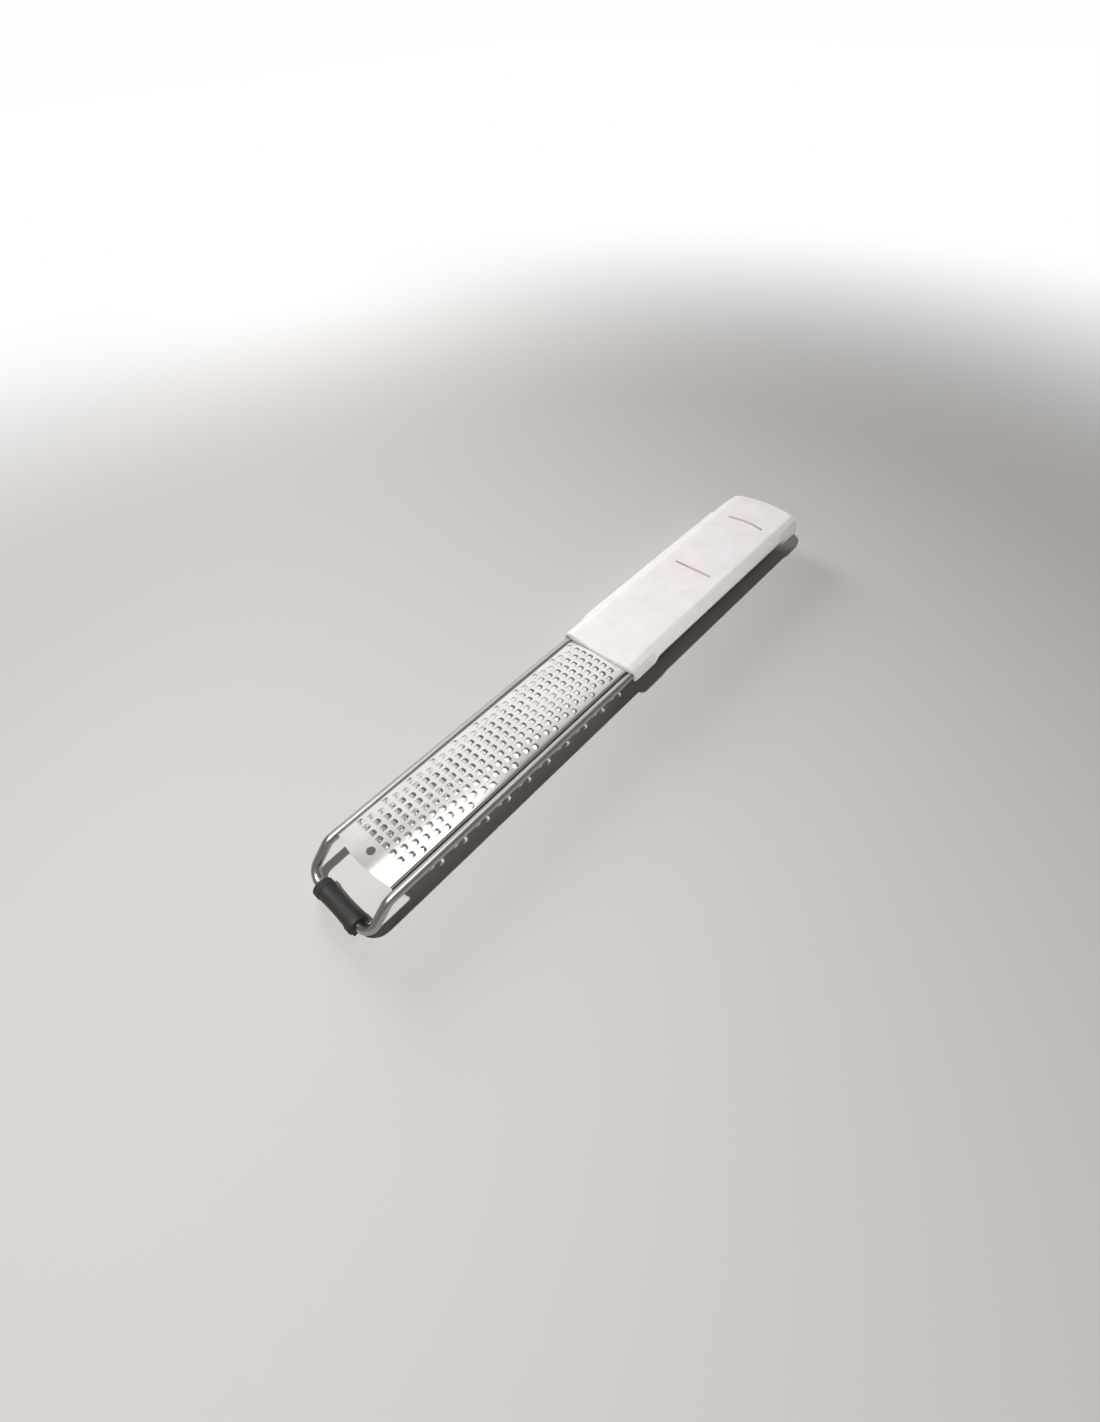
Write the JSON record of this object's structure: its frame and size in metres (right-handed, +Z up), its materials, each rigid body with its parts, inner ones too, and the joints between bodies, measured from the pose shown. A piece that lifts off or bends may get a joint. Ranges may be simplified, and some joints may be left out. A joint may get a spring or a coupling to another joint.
{
  "type": "rasp zester",
  "caption": "Long rasp zester with an arched toothed steel sheet on a bent wire frame, a rubber foot at the front and a long white plastic handle.",
  "frame": {"origin": "middle of the part's box, at table level", "axes": "+X from the rubber foot to the end of the handle, +Y to the left seen from the foot's end looking at the handle, +Z up from the table"},
  "size_m": [0.3057, 0.0452, 0.0193],
  "materials": {
    "sheet_steel": "satin, fine etched grain",
    "wire_steel": "drawn and polished",
    "foot_rubber": "matt",
    "handle_plastic": "satin moulded",
    "screw_steel": "zinc plated"
  },
  "bodies": {
    "root": {"rasp_sheet": "sheet_steel", "wire_frame": "wire_steel", "foot_sleeve": "foot_rubber", "handle_shell": "handle_plastic", "handle_base": "handle_plastic", "front_screw": "screw_steel", "rear_screw": "screw_steel"}
  },
  "joints": []
}
